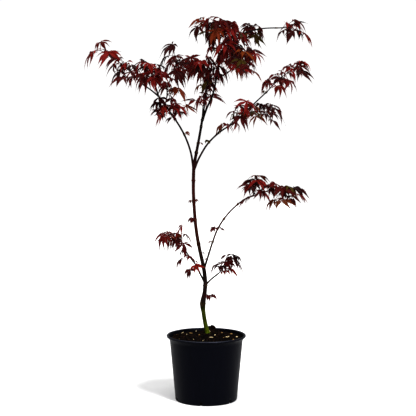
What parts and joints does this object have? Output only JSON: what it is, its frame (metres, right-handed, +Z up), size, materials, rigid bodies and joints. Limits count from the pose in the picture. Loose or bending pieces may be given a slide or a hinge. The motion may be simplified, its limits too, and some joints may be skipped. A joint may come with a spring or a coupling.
{
  "type": "potted japanese maple",
  "caption": "Young red-leaved Japanese maple with a slim leaning trunk and open crown, in a round nursery pot of compost.",
  "frame": {"origin": "centre of the pot's flat underside, on the surface that the plant stands on", "axes": "+Z up along the pot's axis; -Y towards the viewer of the plant's broad side; +X to that viewer's right, the side of the long upper and lower right boughs"},
  "size_m": [0.5412, 0.3526, 0.905],
  "materials": {
    "pot": "black injection-moulded plastic, satin",
    "compost": "dark damp bark compost",
    "bark": "smooth young bark, maroon-brown with grey streaks",
    "leaf_crimson": "soft matte leaf, crimson",
    "leaf_bronze": "soft matte leaf, orange-bronze",
    "leaf_maroon": "soft matte leaf, purple-maroon",
    "leaf_olive": "soft matte leaf, young olive-green"
  },
  "bodies": {
    "root": {"pot": "pot", "compost": "compost", "trunk": "bark", "leader": "bark", "leader_left": "bark", "leader_right": "bark", "left_bough": "bark", "left_upper": "bark", "left_outer": "bark", "right_bough": "bark", "crown_right": "bark", "crown_back": "bark", "top_right": "bark", "low_left": "bark", "low_right": "bark", "long_right": "bark", "low_left_inner": "leaf_crimson", "low_left_outer": "leaf_crimson", "low_left_leaves": "leaf_maroon", "low_right_leaves": "leaf_crimson", "mid_right_inner": "leaf_maroon", "mid_right_leaves": "leaf_crimson", "right_sprig": "leaf_olive", "right_lower": "leaf_bronze", "right_middle": "leaf_bronze", "right_tip": "leaf_crimson", "left_top": "leaf_crimson", "far_left_leaves": "leaf_crimson", "left_low": "leaf_crimson", "left_inner": "leaf_maroon", "left_mid": "leaf_maroon", "fork_left": "leaf_maroon", "leader_mid": "leaf_bronze", "crown_left": "leaf_crimson", "crown_low": "leaf_maroon", "crown_front": "leaf_bronze", "crown_east": "leaf_bronze", "crown_back_leaves": "leaf_maroon", "crown_top": "leaf_bronze", "crown_top_left": "leaf_bronze", "top_inner": "leaf_olive", "top_tip": "leaf_crimson", "trunk_sprout": "leaf_maroon", "foot_sprout": "leaf_crimson"}
  },
  "joints": []
}
